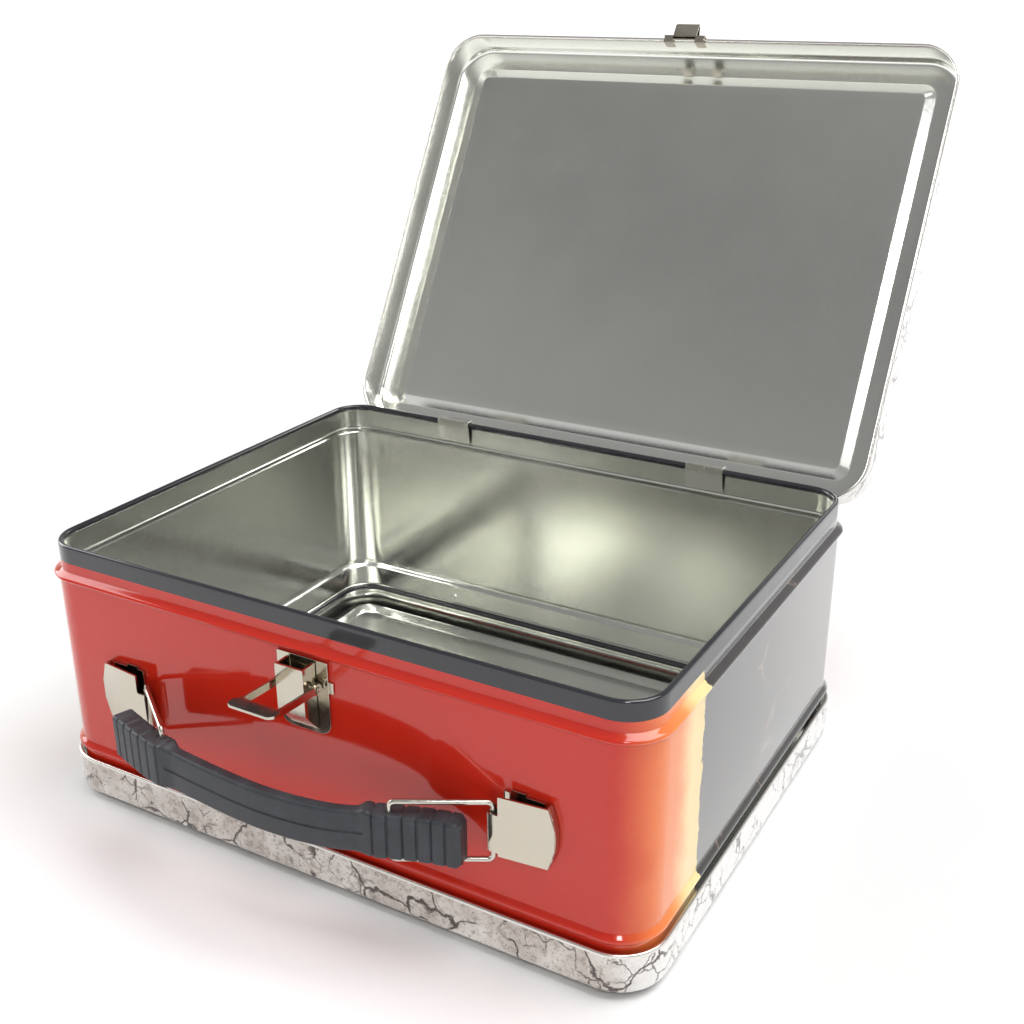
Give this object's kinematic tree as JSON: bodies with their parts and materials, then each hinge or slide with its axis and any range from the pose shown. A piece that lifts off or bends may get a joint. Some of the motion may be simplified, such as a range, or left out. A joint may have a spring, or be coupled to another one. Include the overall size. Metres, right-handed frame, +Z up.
{
  "type": "metal lunch box",
  "caption": "Sheet-metal lunch box with a deep rectangular body, a hinged tray lid, a front clasp with a swing bail, and a moulded carrying grip on wire loops.",
  "frame": {"origin": "centre of the flat panel under the base, where the box rests", "axes": "+X right along the front, +Y from the front (clasp and handle) to the back (hinges), +Z up"},
  "size_m": [0.222, 0.301, 0.243],
  "materials": {
    "enamel": "glossy printed enamel outside, bare tinplate inside",
    "stone_print": "satin printed cracked-stone pattern outside, bare tinplate inside",
    "nickel": "nickel-plated pressed strip",
    "steel_wire": "plated round wire",
    "grip_plastic": "matte moulded plastic"
  },
  "bodies": {
    "box": {"body_band": "enamel", "base_pan": "stone_print", "hinge_left_body_clip": "nickel", "hinge_right_body_clip": "nickel", "hinge_left_pin": "nickel", "hinge_right_pin": "nickel", "latch_plate": "nickel", "latch_pedestal": "nickel", "latch_pin": "nickel", "handle_bracket_left": "nickel", "handle_bracket_right": "nickel"},
    "lid": {"lid_pan": "stone_print", "lid_catch": "nickel", "hinge_left_lid_leaf": "nickel", "hinge_right_lid_leaf": "nickel"},
    "bail": {"latch_bail": "nickel"},
    "loop_right": {"handle_loop_right": "steel_wire"},
    "loop_left": {"handle_loop_left": "steel_wire"},
    "grip": {"handle_grip": "grip_plastic"}
  },
  "joints": [
    {"name": "lid_hinge", "type": "hinge", "parent": "box", "child": "lid", "pos_m": [0, 0.0892, 0.0849], "axis": [1, 0, 0], "range_deg": [0, 119.8]},
    {"name": "bail_swing", "type": "hinge", "parent": "box", "child": "bail", "pos_m": [-0.0012, -0.0883, 0.0723], "axis": [-1, 0, 0], "range_deg": [-93.5, 78.5]},
    {"name": "loop_right_swing", "type": "hinge", "parent": "box", "child": "loop_right", "pos_m": [0.0642, -0.0882, 0.0445], "axis": [0, 0, 1], "range_deg": [-5, 5]},
    {"name": "loop_left_swing", "type": "hinge", "parent": "box", "child": "loop_left", "pos_m": [-0.0642, -0.0882, 0.0445], "axis": [0, 0, -1], "range_deg": [-3.71, 3.71]},
    {"name": "grip_swing", "type": "hinge", "parent": "loop_right", "child": "grip", "pos_m": [0.03925, -0.10197, 0.0445], "axis": [0, 0, 1], "range_deg": [-7.62, 7.62]}
  ],
  "couplings": [
    {"joint": "loop_left_swing", "follows": "loop_right_swing", "ratio": -0.741},
    {"joint": "grip_swing", "follows": "loop_right_swing", "ratio": -1.523}
  ]
}
